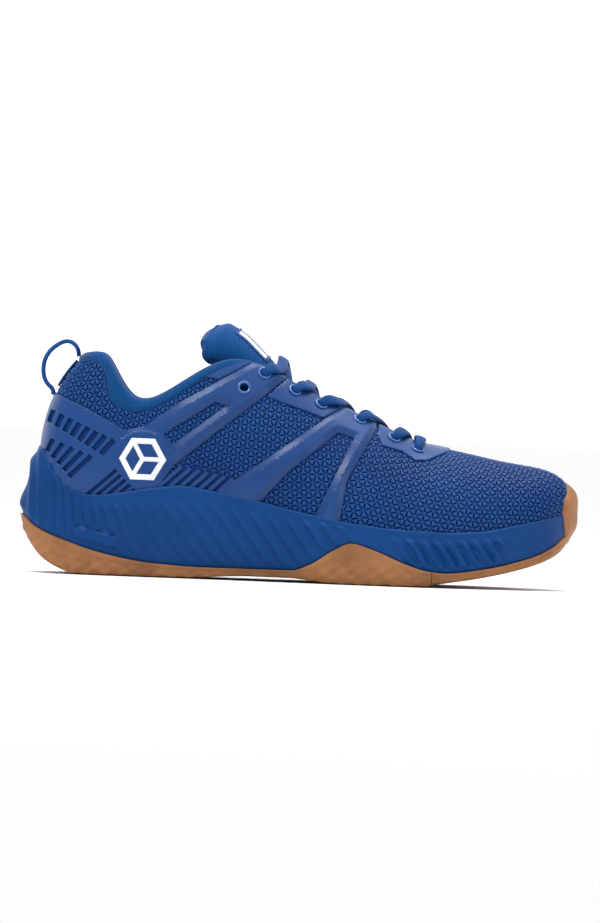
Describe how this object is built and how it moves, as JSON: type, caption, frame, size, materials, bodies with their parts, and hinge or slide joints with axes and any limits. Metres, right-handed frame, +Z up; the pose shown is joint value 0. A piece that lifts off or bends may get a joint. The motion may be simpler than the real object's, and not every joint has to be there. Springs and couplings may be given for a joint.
{
  "type": "court shoe",
  "caption": "Right-foot indoor court shoe: textured upper with caged overlays, laced over a padded tongue, on a foam midsole and gum rubber outsole.",
  "frame": {"origin": "centre of the shoe's bounding box, on the floor under the sole", "axes": "+X to the toe, +Y to the medial side, +Z up from the floor"},
  "size_m": [0.2957, 0.1051, 0.136],
  "materials": {
    "gum_rubber": "moulded gum rubber, satin",
    "midsole_foam": "moulded EVA foam, fine matte skin",
    "shank": "moulded nylon plate",
    "board": "non-woven board",
    "insole_textile": "knit-faced foam",
    "upper_film": "raised triangular film over mesh, satin",
    "stiffener": "thermoformed sheet",
    "lining_textile": "brushed mesh",
    "knit": "ribbed knit",
    "foam": "open-cell foam",
    "overlay_film": "moulded TPU film, satin",
    "print": "white transfer print",
    "webbing": "woven webbing",
    "lace_webbing": "flat woven lace",
    "eyelet": "moulded ring, glossy",
    "aglet": "shrunk plastic tip"
  },
  "bodies": {
    "shoe": {"aglet_lateral": "aglet", "aglet_medial": "aglet", "back_stay": "webbing", "collar_foam": "foam", "collar_lining": "knit", "collar_patch_lateral": "overlay_film", "collar_patch_medial": "overlay_film", "emblem": "print", "eyelet_lateral_1": "eyelet", "eyelet_lateral_2": "eyelet", "eyelet_lateral_3": "eyelet", "eyelet_lateral_4": "eyelet", "eyelet_lateral_5": "eyelet", "eyelet_lateral_6": "eyelet", "eyelet_lateral_7": "eyelet", "eyelet_medial_1": "eyelet", "eyelet_medial_2": "eyelet", "eyelet_medial_3": "eyelet", "eyelet_medial_4": "eyelet", "eyelet_medial_5": "eyelet", "eyelet_medial_6": "eyelet", "eyelet_medial_7": "eyelet", "eyestay_panel_lateral": "overlay_film", "eyestay_panel_medial": "overlay_film", "heel_cage_lateral": "overlay_film", "heel_cage_medial": "overlay_film", "heel_counter": "stiffener", "insole": "insole_textile", "lace": "lace_webbing", "lining": "lining_textile", "midfoot_cage_lateral": "overlay_film", "midfoot_cage_medial": "overlay_film", "midsole": "midsole_foam", "outsole_forefoot": "gum_rubber", "outsole_rear": "gum_rubber", "shank_plate": "shank", "strobel_board": "board", "throat_panel": "overlay_film", "toe_puff": "stiffener", "upper": "upper_film"},
    "tongue": {"tongue_shell": "knit", "tongue_foam": "foam", "tongue_lining": "lining_textile", "tongue_label": "print"},
    "pull_loop": {"pull_loop": "webbing"}
  },
  "joints": [
    {"name": "tongue_swing", "type": "hinge", "parent": "shoe", "child": "tongue", "pos_m": [0.0665, 0.002, 0.064], "axis": [0, 1, 0], "range_deg": [-12, 0], "stiffness_Nm_per_rad": 1},
    {"name": "pull_loop_swing", "type": "hinge", "parent": "shoe", "child": "pull_loop", "pos_m": [-0.1265, -0.002, 0.1049], "axis": [0.5986, 0, 0.801], "range_deg": [-20, 20], "stiffness_Nm_per_rad": 0.05}
  ]
}
